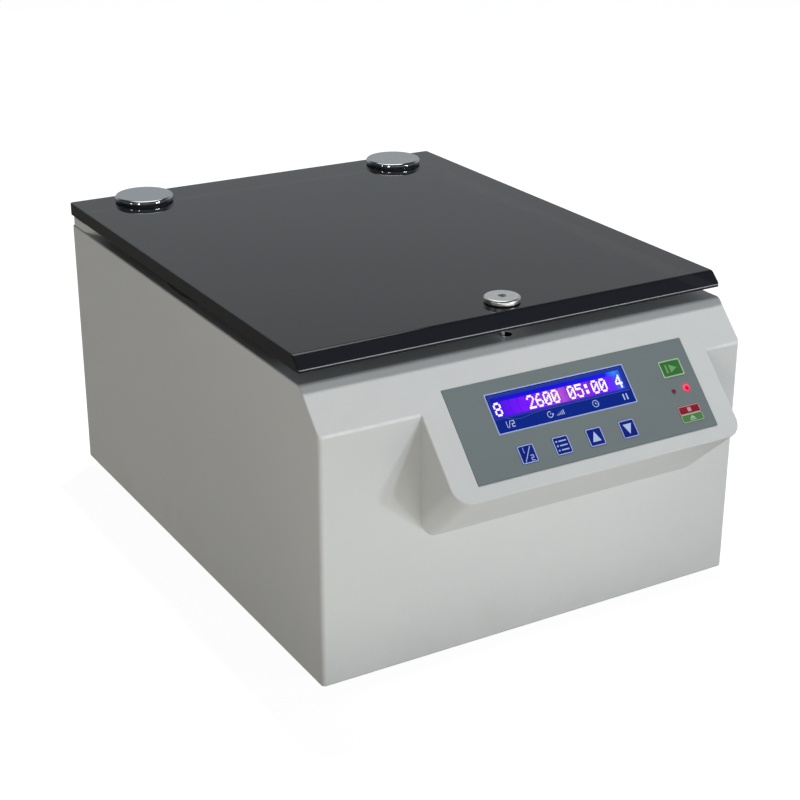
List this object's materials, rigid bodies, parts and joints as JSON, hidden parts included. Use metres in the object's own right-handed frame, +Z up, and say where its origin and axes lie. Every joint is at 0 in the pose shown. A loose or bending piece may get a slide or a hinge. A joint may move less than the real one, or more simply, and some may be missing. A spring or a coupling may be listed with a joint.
{
  "type": "cytocentrifuge",
  "caption": "Bench cytocentrifuge: light grey box housing, hinged dark glass lid with chrome caps, sloping control console with display and keys, spinning slide holders inside.",
  "frame": {"origin": "on the surface the feet stand on, under the centre of the part's box", "axes": "+X right as seen from the front, +Y to the back (the hinge side), +Z up"},
  "size_m": [0.303, 0.4279, 0.213],
  "materials": {
    "painted_shell": "fine textured light grey moulded shell",
    "zinc_sheet": "zinc plated sheet",
    "foot_rubber": "matt black rubber",
    "seal_rubber": "matt black rubber",
    "steel_fastener": "zinc plated steel",
    "stainless": "spun stainless steel",
    "tinted_glass": "dark tinted polished glass",
    "chrome": "bright chrome",
    "satin_steel": "turned satin stainless steel",
    "rotor_alloy": "anodised aluminium",
    "slide_glass": "clear glass",
    "funnel_plastic": "translucent white plastic",
    "black_plastic": "black moulded plastic",
    "overlay_film": "grey matt membrane film",
    "display_blue": "blue display window",
    "key_blue": "blue membrane key",
    "key_green": "green membrane key",
    "key_red": "red and green membrane key",
    "led_red": "red indicator",
    "circuit_board": "green circuit board",
    "motor_paint": "black painted motor can",
    "winding_copper": "enamelled copper and steel",
    "core_steel": "laminated steel"
  },
  "bodies": {
    "chassis": {"housing": "painted_shell", "base_plate": "zinc_sheet", "rubber_feet": "foot_rubber", "chassis_screws": "steel_fastener", "chassis_posts": "steel_fastener", "chamber_bowl": "stainless", "lid_seal": "seal_rubber", "hinge_brackets": "stainless", "hinge_pins": "steel_fastener", "rear_screws": "steel_fastener", "latch_frame": "zinc_sheet", "latch_solenoid": "core_steel", "lid_switch": "black_plastic", "control_overlay": "overlay_film", "lcd_window": "display_blue", "lcd_module": "circuit_board", "status_leds": "led_red", "keypad_board": "circuit_board", "main_board": "circuit_board", "drive_heatsink": "rotor_alloy", "transformer": "core_steel", "power_inlet": "black_plastic", "switch_bezel": "black_plastic", "motor_can": "motor_paint", "motor_bearings": "steel_fastener", "motor_stator": "winding_copper", "motor_mount_plate": "zinc_sheet", "mount_dampers": "foot_rubber", "shaft_boot": "seal_rubber"},
    "lid": {"lid_glass": "tinted_glass", "hinge_caps": "chrome", "lid_gaskets": "seal_rubber", "hinge_leaves": "stainless", "striker_disc": "satin_steel", "striker_pin": "satin_steel"},
    "rotor": {"motor_shaft": "satin_steel", "motor_magnet": "core_steel", "rotor_head": "rotor_alloy", "rotor_knob": "black_plastic"},
    "slide_holder_1": {"slide_clip_1": "stainless", "glass_slide_1": "slide_glass", "sample_funnel_1": "funnel_plastic"},
    "slide_holder_2": {"slide_clip_2": "stainless", "glass_slide_2": "slide_glass", "sample_funnel_2": "funnel_plastic"},
    "slide_holder_3": {"slide_clip_3": "stainless", "glass_slide_3": "slide_glass", "sample_funnel_3": "funnel_plastic"},
    "slide_holder_4": {"slide_clip_4": "stainless", "glass_slide_4": "slide_glass", "sample_funnel_4": "funnel_plastic"},
    "key_program": {"key_program": "key_blue"},
    "key_select": {"key_select": "key_blue"},
    "key_up": {"key_up": "key_blue"},
    "key_down": {"key_down": "key_blue"},
    "key_start": {"key_start": "key_green"},
    "key_stop": {"key_stop": "key_red"},
    "latch": {"latch_bolt": "satin_steel"},
    "fuse_carrier": {"fuse_drawer": "black_plastic"},
    "rocker": {"power_rocker": "black_plastic"}
  },
  "joints": [
    {"name": "lid_hinge", "type": "hinge", "parent": "chassis", "child": "lid", "pos_m": [0, 0.20966, 0.1945], "axis": [-1, 0, 0], "range_deg": [0, 75]},
    {"name": "rotor_spin", "type": "hinge", "parent": "chassis", "child": "rotor", "pos_m": [0, 0.02865, 0.104], "axis": [0, 0, 1], "continuous": true},
    {"name": "holder_tilt_1", "type": "hinge", "parent": "rotor", "child": "slide_holder_1", "pos_m": [0.07283, 0.10149, 0.124], "axis": [-0.7071, 0.7071, 0], "range_deg": [0, 18]},
    {"name": "holder_tilt_2", "type": "hinge", "parent": "rotor", "child": "slide_holder_2", "pos_m": [-0.07283, 0.10149, 0.124], "axis": [-0.7071, -0.7071, 0], "range_deg": [0, 18]},
    {"name": "holder_tilt_3", "type": "hinge", "parent": "rotor", "child": "slide_holder_3", "pos_m": [-0.07283, -0.04418, 0.124], "axis": [0.7071, -0.7071, 0], "range_deg": [0, 18]},
    {"name": "holder_tilt_4", "type": "hinge", "parent": "rotor", "child": "slide_holder_4", "pos_m": [0.07283, -0.04418, 0.124], "axis": [0.7071, 0.7071, 0], "range_deg": [0, 18]},
    {"name": "key_program_press", "type": "slide", "parent": "chassis", "child": "key_program", "axis": [0, 0.7221, -0.6918], "range_m": [0, 0.0005], "stiffness_N_per_m": 1000, "springref_m": -0.0004},
    {"name": "key_select_press", "type": "slide", "parent": "chassis", "child": "key_select", "axis": [0, 0.7221, -0.6918], "range_m": [0, 0.0005], "stiffness_N_per_m": 1000, "springref_m": -0.0004},
    {"name": "key_up_press", "type": "slide", "parent": "chassis", "child": "key_up", "axis": [0, 0.7221, -0.6918], "range_m": [0, 0.0005], "stiffness_N_per_m": 1000, "springref_m": -0.0004},
    {"name": "key_down_press", "type": "slide", "parent": "chassis", "child": "key_down", "axis": [0, 0.7221, -0.6918], "range_m": [0, 0.0005], "stiffness_N_per_m": 1000, "springref_m": -0.0004},
    {"name": "key_start_press", "type": "slide", "parent": "chassis", "child": "key_start", "axis": [0, 0.7221, -0.6918], "range_m": [0, 0.0005], "stiffness_N_per_m": 1000, "springref_m": -0.0004},
    {"name": "key_stop_press", "type": "slide", "parent": "chassis", "child": "key_stop", "axis": [0, 0.7221, -0.6918], "range_m": [0, 0.0005], "stiffness_N_per_m": 1000, "springref_m": -0.0004},
    {"name": "latch_slide", "type": "slide", "parent": "chassis", "child": "latch", "axis": [1, 0, 0], "range_m": [0, 0.008], "stiffness_N_per_m": 60, "springref_m": -0.005},
    {"name": "fuse_drawer_pull", "type": "slide", "parent": "chassis", "child": "fuse_carrier", "axis": [0, 1, 0], "range_m": [0, 0.012]},
    {"name": "power_rocker_tip", "type": "hinge", "parent": "chassis", "child": "rocker", "pos_m": [-0.04, 0.20566, 0.054], "axis": [-1, 0, 0], "range_deg": [0, 12]}
  ],
  "couplings": [
    {"joint": "holder_tilt_2", "follows": "holder_tilt_1", "ratio": 1},
    {"joint": "holder_tilt_3", "follows": "holder_tilt_1", "ratio": 1},
    {"joint": "holder_tilt_4", "follows": "holder_tilt_1", "ratio": 1}
  ]
}
